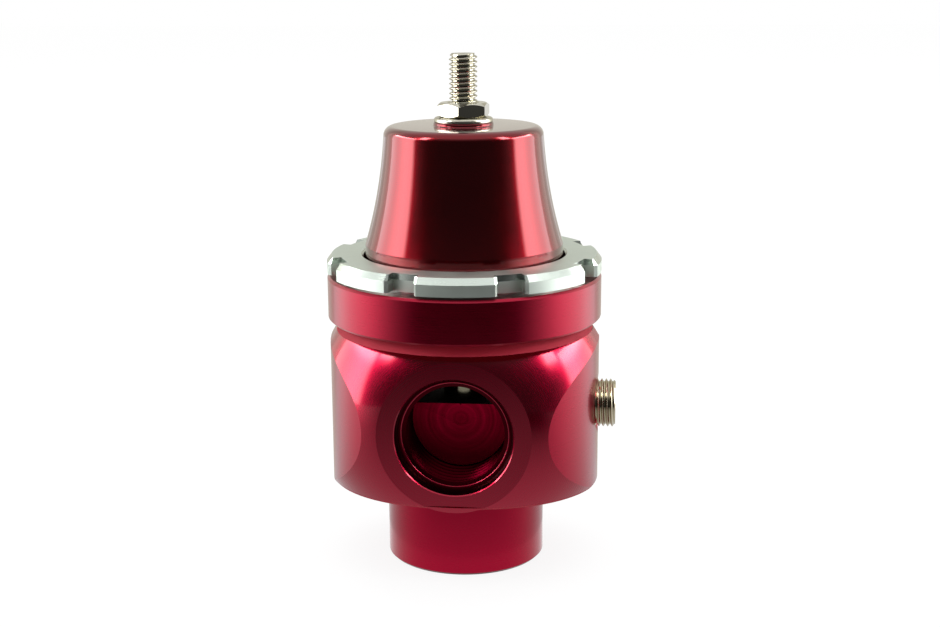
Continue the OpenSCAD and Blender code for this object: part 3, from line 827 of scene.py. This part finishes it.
    def chamber(self, shell, around, inside, well):
        """Well floor and wall, open where the side ports break in, and the chamber above."""
        x = np.linspace(-WELL_R, WELL_R, 61)[:, None]
        wide = np.minimum(PORT_END, np.sqrt(np.maximum(WELL_R ** 2 - x ** 2, 0)))
        t = np.linspace(-1, 1, 25)
        shell.add(np.stack([x + 0 * t, wide * t, FLOOR_Z + 0 * x * t], -1), finish=well)
        chord = np.sqrt(np.maximum(PORT_MINOR ** 2 - (WELL_R * np.cos(around)) ** 2, 0))
        start = np.maximum(FLOOR_Z, PORT_Z + chord)
        high = np.stack([start, np.full_like(start, CHAMBER_Z)], 1)
        shell.add(polar(WELL_R, around[:, None], high), wrap=True, flip=True, finish=inside)
        add_turned(shell, facets(
            (CHAMBER_R, LEDGE_Z), (CHAMBER_R, CHAMBER_Z), (WELL_R, CHAMBER_Z)), around, finish=inside)


class REGULATOR_OT_bonnet(bpy.types.Operator):
    """Builds the red bell bonnet with its flange, hollow flank, rounded crown and spring cavity."""

    bl_idname = "regulator.bonnet"
    bl_label = "Bonnet"

    def execute(self, context):
        around = angles(sizes().turns_around)
        shell = Shell()
        crown = (BELL_R - CROWN_ROUND, CROWN_Z - CROWN_ROUND)
        fillet = BOSS_R + BOSS_FILLET
        bell = hollow_arc((FOOT_R, FOOT_TOP), (BELL_R, CROWN_Z - CROWN_ROUND), BELL_CURVE, 48)
        bell += arc(crown, CROWN_ROUND, 0, 90, 13)[1:] + [(fillet, CROWN_Z)]
        boss = arc((fillet, CROWN_Z + BOSS_FILLET), BOSS_FILLET, 270, 180, 6)
        boss += [(BOSS_R, BOSS_TOP - FINE_BREAK)]
        flange = facets(
            (CAVITY_R, CLAMP_Z), (FLANGE_R, CLAMP_Z), (FLANGE_R, FLANGE_TOP),
            (FOOT_R, FLANGE_TOP), (FOOT_R, FOOT_TOP))
        seal_z = BOSS_TOP - SEAL_DEPTH
        cavity = facets(
            (BOSS_R, BOSS_TOP - FINE_BREAK), (BOSS_R - FINE_BREAK, BOSS_TOP), (SEAL_R, BOSS_TOP),
            (SEAL_R, seal_z), (SCREW_BORE, seal_z), (SCREW_BORE, CAVITY_ROOF), (CAVITY_ROOF_R, CAVITY_ROOF),
            (CAVITY_R, CAVITY_STEP), (CAVITY_R, CLAMP_Z))
        add_turned(shell, [*flange, bell, boss, *cavity], around)
        piece = shell.build("bonnet_shell", [finish("bonnet_red")])
        settle(piece, "housing", "red_anodised", "bonnet")
        return {"FINISHED"}


class REGULATOR_OT_collar(bpy.types.Operator):
    """Builds the silver clamp collar: a bevelled ring of lugs and notches over a threaded skirt."""

    bl_idname = "regulator.collar"
    bl_label = "Clamp collar"

    def execute(self, context):
        satin, faced = range(2)
        count = sizes().lug_count
        notch_r, bore, skirt = RIM_R - NOTCH_DEPTH, FOOT_R + COLLAR_PLAY, RIM_BORE - SKIRT_PLAY
        bevel_z, bevel_r = COLLAR_TOP - COLLAR_BEVEL_H, RIM_R - COLLAR_BEVEL_W
        corner_r = RIM_R - NOTCH_CORNER
        step = TURN / count
        half_lug = step / 2 - math.asin(NOTCH_HALF / RIM_R) - NOTCH_CORNER / RIM_R
        notch_edge = math.asin(NOTCH_HALF / notch_r)
        wall_edge = math.asin(NOTCH_HALF / corner_r)
        parts = []
        inner = []
        for k in range(count):
            mid = -math.pi / 2 + sizes().lug_clock + k * step
            notch = mid + step / 2
            lug = np.linspace(-half_lug, half_lug, 25) + mid
            floor = np.linspace(-notch_edge, notch_edge, 9) + notch
            parts.append(np.stack([lug, np.full_like(lug, RIM_R)], -1))
            parts.append(np.array([[notch - wall_edge, corner_r]]))
            parts.append(np.stack([floor, np.full_like(floor, notch_r)], -1))
            parts.append(np.array([[notch + wall_edge, corner_r]]))
            inner.append(np.concatenate([lug, floor[:1], floor, floor[-1:]]))
        outline = np.concatenate(parts)
        spin, reach = np.concatenate([outline, outline[:1] + np.array([[TURN, 0]])]).T
        inner = np.concatenate(inner)
        inward = np.append(inner, inner[0] + TURN)
        top = np.minimum(reach, bevel_r)
        wall = np.stack([polar(reach, spin, COLLAR_Z), polar(reach, spin, bevel_z)], 1)
        slope = np.stack([polar(reach, spin, bevel_z), polar(top, spin, COLLAR_TOP)], 1)
        breaks = np.cumsum([0] + [len(part) for part in parts])
        cuts = np.unique(np.concatenate([breaks, breaks[1:] - 1]))
        shell = Shell()
        for a, b in zip(cuts[:-1], cuts[1:]):
            shell.add(wall[a:b + 1], finish=faced)
            shell.add(slope[a:b + 1], finish=satin)
        lip = bore + COLLAR_LIP
        flat = [polar(r, a, COLLAR_TOP) for r, a in ((top, spin), (notch_r, inward), (lip, inward))]
        shell.add(np.stack(flat, 1), finish=faced)
        under = [polar(r, a, COLLAR_Z) for r, a in ((skirt, inward), (notch_r, inward), (reach, spin))]
        shell.add(np.stack(under, 1), finish=satin)
        foot = FLANGE_TOP + SEATED
        for run in facets((lip, COLLAR_TOP), (bore, COLLAR_TOP - COLLAR_LIP), (bore, foot),
                          (skirt, foot), (skirt, COLLAR_Z)):
            shell.add(turned(*np.array(run).T, inward), finish=satin)
        materials = [finish("collar_satin"), finish("collar_faced")]
        piece = shell.build("collar_ring", materials, crease=math.radians(20))
        settle(piece, "housing", "satin_collar", "clamp_collar")
        return {"FINISHED"}


class REGULATOR_OT_adjuster(bpy.types.Operator):
    """Builds the threaded adjuster screw, its lock nut and the washer."""

    bl_idname = "regulator.adjuster"
    bl_label = "Adjuster"

    def execute(self, context):
        around = angles(64)
        depth = sizes().thread_depth / MM
        rim = SCREW_R - SCREW_LEAD
        shell = Shell()
        shell.add(thread_grid(SCREW_R, depth, SCREW_PITCH, SCREW_TIP, SCREW_TOP, around, lead=SCREW_LEAD))
        add_hex_socket(shell, flat=1.5, rim=rim, top=SCREW_TOP, depth=2.6, clock=0.4)
        add_turned(shell, facets((0, SCREW_TIP), (rim, SCREW_TIP)), around)
        screw = shell.build("adjuster_thread", [finish("bright_steel_finish")], crease=math.radians(30))
        settle(screw, "adjuster", "bright_steel", "adjuster_screw")

        shell = Shell()
        add_hex_nut(shell, NUT_FLAT, NUT_Z, NUT_TOP, SCREW_BORE, sizes().nut_clock - math.pi / 2)
        nut = shell.build("lock_nut_hex", [finish("bright_steel_finish")], crease=math.radians(25))
        settle(nut, "nut", "bright_steel", "lock_nut")

        shell = Shell()
        rounded = (WASHER_R - WASHER_EDGE, WASHER_TOP - WASHER_EDGE)
        foot = (WASHER_R - WASHER_BREAK, WASHER_Z)
        rim = [foot, (WASHER_R, WASHER_Z + WASHER_BREAK), (WASHER_R, WASHER_TOP - WASHER_EDGE)]
        rim += arc(rounded, WASHER_EDGE, 0, 90, 9)[1:]
        top = facets((rounded[0], WASHER_TOP), (WASHER_BORE, WASHER_TOP), (WASHER_BORE, WASHER_Z))
        add_turned(shell, [*facets((WASHER_BORE, WASHER_Z), foot), rim, *top], angles(96))
        washer = shell.build("lock_washer_ring", [finish("ground_steel_finish")])
        settle(washer, "nut_carriage", "bright_steel", "lock_washer")
        return {"FINISHED"}


class REGULATOR_OT_fittings(bpy.types.Operator):
    """Builds the gauge plug, the reference nipple and the valve seat tube."""

    bl_idname = "regulator.fittings"
    bl_label = "Fittings"

    def execute(self, context):
        radius = sizes().body_radius / MM
        low, high = radius - PLUG_SINK, radius + PLUG_PROUD
        plug_r = GAUGE_R - SEATED
        rim = plug_r - PLUG_LEAD
        around = angles(72)
        shell = Shell()
        grid = thread_grid(plug_r, PLUG_THREAD, PLUG_PITCH, low, high, around, lead=PLUG_LEAD)
        shell.add(along_x(grid))
        add_hex_socket(shell, flat=2.4, rim=rim, top=high, depth=4.0, clock=0.3, place=along_x)
        add_turned(shell, facets((0, low), (rim, low)), around, along_x)
        plug = shell.build("gauge_plug_thread", [finish("nickel_plug_finish")], crease=math.radians(30))
        settle(plug, "housing", "nickel_plug", "gauge_plug")

        shell = Shell()
        around = angles(64)
        outer = VALVE_SEAT_R - SEATED
        add_turned(shell, facets(
            (PASSAGE_R, SEAT_FOOT), (outer, SEAT_FOOT), (outer, SEAT_TOP - SEAT_BREAK),
            (VALVE_SEAT_R - SEAT_BREAK, SEAT_TOP), (PASSAGE_R, SEAT_TOP), (PASSAGE_R, SEAT_FOOT)), around)
        seat = shell.build("valve_seat_tube", [finish("seat_steel_finish")])
        settle(seat, "housing", "ground_steel", "valve_seat")

        def place(grid):
            return np.stack([-grid[..., 0], grid[..., 2], NIPPLE_Z + grid[..., 1]], -1)

        hex_y = FOOT_R - NIPPLE_SINK
        barb_y = hex_y + NIPPLE_HEX
        shank, first, second, tip = hex_y - SHANK_LENGTH, *(barb_y + BARB_LENGTH * t for t in (0.3, 0.65, 1))
        shell = Shell()
        add_hex_nut(shell, NIPPLE_FLAT, hex_y, barb_y, NIPPLE_BORE, 0.0, place)
        add_turned(shell, facets((NIPPLE_BORE, shank), (SHANK_R, shank), (SHANK_R, hex_y)), around, place)
        add_turned(shell, facets(
            (BARB_R, barb_y), (BARB_R, first), (BARB_CREST, first), (BARB_R, second), (BARB_CREST, second),
            (BARB_TIP, tip), (NIPPLE_BORE, tip), (NIPPLE_BORE, shank)), around, place)
        nipple = shell.build("reference_barb", [finish("plain_brass_finish")], crease=math.radians(25))
        settle(nipple, "housing", "plain_brass", "reference_nipple")
        return {"FINISHED"}


class REGULATOR_OT_spring(bpy.types.Operator):
    """Builds the main spring as a fixed coil; the real spring shortens as the adjuster is screwed in."""

    bl_idname = "regulator.spring"
    bl_label = "Main spring"

    def execute(self, context):
        """A round wire along a helix: the end turns rise one wire thickness, the others share the rest."""
        low, high = (corner[2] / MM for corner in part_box("main_spring"))
        foot, head = low + WIRE_R, high - WIRE_R
        t = np.linspace(0, 1, COIL_TURNS * 40 + 1)[None, :]
        dead = 1 / COIL_TURNS
        share = np.clip((t - dead) / (1 - 2 * dead), 0, 1)
        ends = np.minimum(t, dead) / dead + np.maximum(t - 1 + dead, 0) / dead
        rise = foot + 2 * WIRE_R * ends + (head - foot - 4 * WIRE_R) * share
        turn = TURN * COIL_TURNS * t
        b = angles(16)[:, None]
        shell = Shell()

        def wire(thick, turn, rise):
            return polar(COIL_R + thick * np.cos(b), turn, rise + thick * np.sin(b))

        shell.add(wire(WIRE_R, turn, rise), wrap=True, flip=True)
        thick = WIRE_R * np.linspace(0, 1, 4)[None, :]
        shell.add(wire(thick, turn[:, :1], rise[:, :1]), wrap=True, flip=True)
        shell.add(wire(thick, turn[:, -1:], rise[:, -1:]), wrap=True)
        piece = shell.build("main_coil", [finish("ground_steel_finish")])
        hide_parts("main_spring")
        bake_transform(piece)
        return {"FINISHED"}


class REGULATOR_OT_inside(bpy.types.Operator):
    """Gives the CAD nodes that stay their finishes: seats, plates, valve, seals and pin."""

    bl_idname = "regulator.inside"
    bl_label = "Inner pieces"

    def execute(self, context):
        kinds = {
            "ground_steel_finish": ("locating_pin", "upper_spring_seat", "valve_stem"),
            "bright_steel_finish": ("thrust_ball", "stem_nut", "valve_ball"),
            "plain_aluminium_finish": ("lower_spring_seat", "diaphragm_plate"),
            "plain_brass_finish": ("ball_retainer",),
            "seal_rubber_finish": ("adjuster_seal", "diaphragm", "seat_oring"),
        }
        for kind, nodes in kinds.items():
            for node in nodes:
                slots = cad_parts[node].data.materials
                slots.clear()
                slots.append(finish(kind))
        return {"FINISHED"}


def sheet(name, grid, material):
    """A stage sheet from a grid of points in metres."""
    rows, columns = grid.shape[:2]
    quads = quads_of(np.arange(rows * columns).reshape(rows, columns))
    mesh = bpy.data.meshes.new(name)
    mesh.from_pydata(grid.reshape(-1, 3).tolist(), [], quads.tolist())
    mesh.polygons.foreach_set("use_smooth", np.ones(len(quads), bool))
    mesh.materials.append(material)
    piece = bpy.data.objects.new(name, mesh)
    bpy.context.scene.collection.objects.link(piece)
    return piece


def card(name, grid, level, material):
    """A studio card that only reflections see; each point glows at its own level, 1 being white."""
    piece = sheet(name, grid, material)
    glow = piece.data.attributes.new("level", "FLOAT", "POINT")
    glow.data.foreach_set("value", np.broadcast_to(level, grid.shape[:2]).astype(np.float32).ravel())
    piece.visible_camera = False
    piece.visible_diffuse = False
    piece.visible_shadow = False
    piece.visible_transmission = False
    return piece


def card_face(name, tint):
    """Plain glow of one tint whose strength is the card's own level."""
    nodes = Nodes(name)
    emit = nodes.make("ShaderNodeEmission")
    put(emit, Color=(*tint, 1))
    level = nodes.make("ShaderNodeAttribute", attribute_name="level")
    nodes.link(level.outputs["Fac"], emit.inputs["Strength"])
    nodes.surface(emit)
    nodes.tree.nodes.remove(nodes.shader)
    return nodes.material


def ramp(value, low, high):
    """Smooth step from 0 at low to 1 at high."""
    t = np.clip((value - low) / (high - low), 0, 1)
    return t * t * (3 - 2 * t)


def sweep(azimuth, steps, turn):
    """Directions round the object: azimuths in degrees from the camera's side, and the same as angles."""
    degrees = np.linspace(azimuth[0], azimuth[1], steps)
    return degrees, np.radians(degrees) + turn - math.pi / 2


def upright(azimuth, distance, low, high, turn, rows=17, steps=49):
    """Upright curved grid round the object with its azimuths and heights."""
    degrees, a = sweep(azimuth, steps, turn)
    z = np.linspace(low, high, rows)
    return polar(distance, a[:, None], z), degrees[:, None] + 0 * z, z + 0 * a[:, None]


def level_square(half, steps, z):
    """Level square grid at a height."""
    side = np.linspace(-half, half, steps)
    return np.stack([side[:, None] + 0 * side, 0 * side[:, None] + side, np.full((steps, steps), z)], -1)


class REGULATOR_OT_stage(bpy.types.Operator):
    """Sets the pale floor, the soft studio light and the camera."""

    bl_idname = "regulator.stage"
    bl_label = "Stage"

    def execute(self, context):
        scene = context.scene
        scene.view_settings.view_transform = "Standard"
        turn = math.radians(VIEW_TURN)
        self.camera(scene, turn)
        self.floor()
        self.world(scene)
        self.cards(turn)
        lamp = bpy.data.lights.new("overhead", "AREA")
        lamp.shape = "RECTANGLE"
        lamp.size, lamp.size_y = 1.2, 1.0
        lamp.energy = 9.0
        overhead = bpy.data.objects.new("overhead", lamp)
        overhead.location = (0.0, 0.1, 1.1)
        overhead.visible_glossy = False
        scene.collection.objects.link(overhead)
        return {"FINISHED"}

    def floor(self):
        """White floor: mostly its own white where seen, the rest lit, which keeps the object's shadow."""
        nodes = Nodes("pale_floor")
        put(nodes.shader, Base_Color=(0.95, 0.95, 0.95, 1), Roughness=0.8, Specular_IOR_Level=0.0)
        path = nodes.make("ShaderNodeLightPath")
        seen = nodes.maths("MAXIMUM", path.outputs["Is Camera Ray"], path.outputs["Is Glossy Ray"])
        seen = nodes.maths("MAXIMUM", seen, path.outputs["Is Transmission Ray"])
        white = nodes.make("ShaderNodeEmission")
        put(white, Strength=1.0)
        mix = nodes.make("ShaderNodeMixShader")
        nodes.link(nodes.maths("MULTIPLY", seen, 0.88), mix.inputs["Fac"])
        nodes.link(nodes.shader.outputs[0], mix.inputs[1])
        nodes.link(white.outputs[0], mix.inputs[2])
        nodes.surface(mix)
        sheet("floor", level_square(FLOOR_HALF, 3, 0.0), nodes.material)

    def cards(self, turn):
        """Cards round the object: dark in front, soft boxes at both sides, grey behind, pale above."""
        face = card_face("card_face", (1.0, 1.0, 1.0))
        warm = card_face("warm_card_face", (1.0, 0.975, 0.86))
        degrees, a = sweep((-135, 135), 109, turn)
        r = np.geomspace(0.026, 0.95, 49)
        near = [0.026, 0.038, 0.075, 0.12, 0.196, 0.272, 0.4, 0.9]
        front = np.interp(r, near, [0.8, 0.72, 0.5, 0.31, 0.09, 0.02, 0.015, 0.02])
        flank = np.interp(r, [0.026, 0.06, 0.12, 0.25, 0.9], [0.7, 0.75, 1.1, 1.9, 2.6])
        away = np.abs(degrees)[:, None]
        side = ramp(away, 36, 96) * np.interp(away, [115, 135], [1.0, 0.5])
        card("floor_card", polar(r, a[:, None], CARD_LIFT), front * (1 - side) + side * flank, face)
        _, a = sweep((135, 225), 25, turn)
        card("rear_floor_card", polar(r, a[:, None], CARD_LIFT), 0.62, warm)
        grid, degrees, z = upright((-71, 73), FRONT_AWAY, 0.0, 1.0, turn)
        rise = np.degrees(np.arctan2(z - MIDDLE_Z, FRONT_AWAY))
        high = np.interp(rise, [0, 12, 23, 34, 45], [0.065, 0.06, 0.08, 0.3, 0.8])
        strip = 15.0 * ramp(np.abs(degrees - 1), 55, 61) * ramp(rise, 21, 27)
        edge = 0.2 * ramp(np.abs(degrees), 50, 72) + strip
        card("front_card", grid, high + edge, face)
        for name, span, inner in (("left_softbox", (-121, -71), 70), ("right_softbox", (73, 119), 72)):
            grid, degrees, z = upright(span, BOX_AWAY, 0.0, 0.5, turn)
            top = ramp(np.degrees(np.arctan2(z - MIDDLE_Z, BOX_AWAY)), 16, 24)
            away = np.abs(degrees)
            fade = 1 - 0.5 * ramp(away, 82, 108) * (1 - top)
            card(name, grid, 7.4 * ramp(away, inner, inner + 7) * (1 + 1.1 * top) * fade, face)
        for name, span in (("left_fill", (-138, -121)), ("right_fill", (119, 138))):
            card(name, upright(span, BOX_AWAY, 0.0, 0.8, turn)[0], 1.2, warm)
        card("rear_card", upright((138, 222), REAR_AWAY, 0.0, 1.0, turn)[0], 0.72, warm)
        card("overhead_card", level_square(0.7, 5, 1.0), 1.15, face)

    def camera(self, scene, turn):
        """Camera at the photograph's angle: distance, height, pitch and roll as measured."""
        away, height, pitch, roll = 0.3144, 0.126, math.radians(13.05), math.radians(-0.37)
        data = bpy.data.cameras.new("camera")
        data.sensor_fit = "HORIZONTAL"
        data.sensor_width = SENSOR
        data.lens = FOCAL_LENGTH / PICTURE_WIDE * SENSOR
        data.shift_x = LENS_SHIFT / PICTURE_WIDE
        data.clip_start = 0.01
        eye = bpy.data.objects.new("camera", data)
        level = math.cos(pitch)
        look = Vector((-math.sin(turn) * level, math.cos(turn) * level, -math.sin(pitch)))
        basis = look.to_track_quat("-Z", "Y").to_matrix().to_4x4() @ Matrix.Rotation(roll, 4, "Z")
        spot = (away * math.sin(turn), -away * math.cos(turn), height)
        eye.matrix_world = Matrix.Translation(spot) @ basis
        scene.collection.objects.link(eye)
        scene.camera = eye

    def world(self, scene):
        """Plain white surroundings."""
        world = bpy.data.worlds.new("studio")
        world.use_nodes = True
        put(world.node_tree.nodes["Background"], Color=(1, 1, 1, 1), Strength=1.0)
        scene.world = world


class REGULATOR_PT_panel(bpy.types.Panel):
    """Lists the sizes, the colours and the steps that build the regulator."""

    bl_idname = "REGULATOR_PT_panel"
    bl_label = "Fuel pressure regulator"
    bl_space_type = "VIEW_3D"
    bl_region_type = "UI"
    bl_category = "Regulator"

    def draw(self, context):
        for group in (context.scene.regulator_sizes, context.scene.regulator_colours):
            for name in group.bl_rna.properties.keys():
                if name not in ("rna_type", "name"):
                    self.layout.prop(group, name)
        for step in STEPS:
            self.layout.operator(step.bl_idname)


STEPS = (REGULATOR_OT_body, REGULATOR_OT_bonnet, REGULATOR_OT_collar, REGULATOR_OT_adjuster,
         REGULATOR_OT_fittings, REGULATOR_OT_spring, REGULATOR_OT_inside, REGULATOR_OT_stage)
CLASSES = (RegulatorSizes, RegulatorColours, *STEPS, REGULATOR_PT_panel)


def register():
    """Registers the classes and hangs the settings on the scene."""
    for item in CLASSES:
        bpy.utils.register_class(item)
    bpy.types.Scene.regulator_sizes = bpy.props.PointerProperty(type=RegulatorSizes)
    bpy.types.Scene.regulator_colours = bpy.props.PointerProperty(type=RegulatorColours)


def unregister():
    """Takes the settings and classes away again."""
    del bpy.types.Scene.regulator_colours
    del bpy.types.Scene.regulator_sizes
    for item in reversed(CLASSES):
        bpy.utils.unregister_class(item)


def main():
    register()
    bpy.ops.regulator.body()
    bpy.ops.regulator.bonnet()
    bpy.ops.regulator.collar()
    bpy.ops.regulator.adjuster()
    bpy.ops.regulator.fittings()
    bpy.ops.regulator.spring()
    bpy.ops.regulator.inside()
    bpy.ops.regulator.stage()


if __name__ == "__main__":
    main()
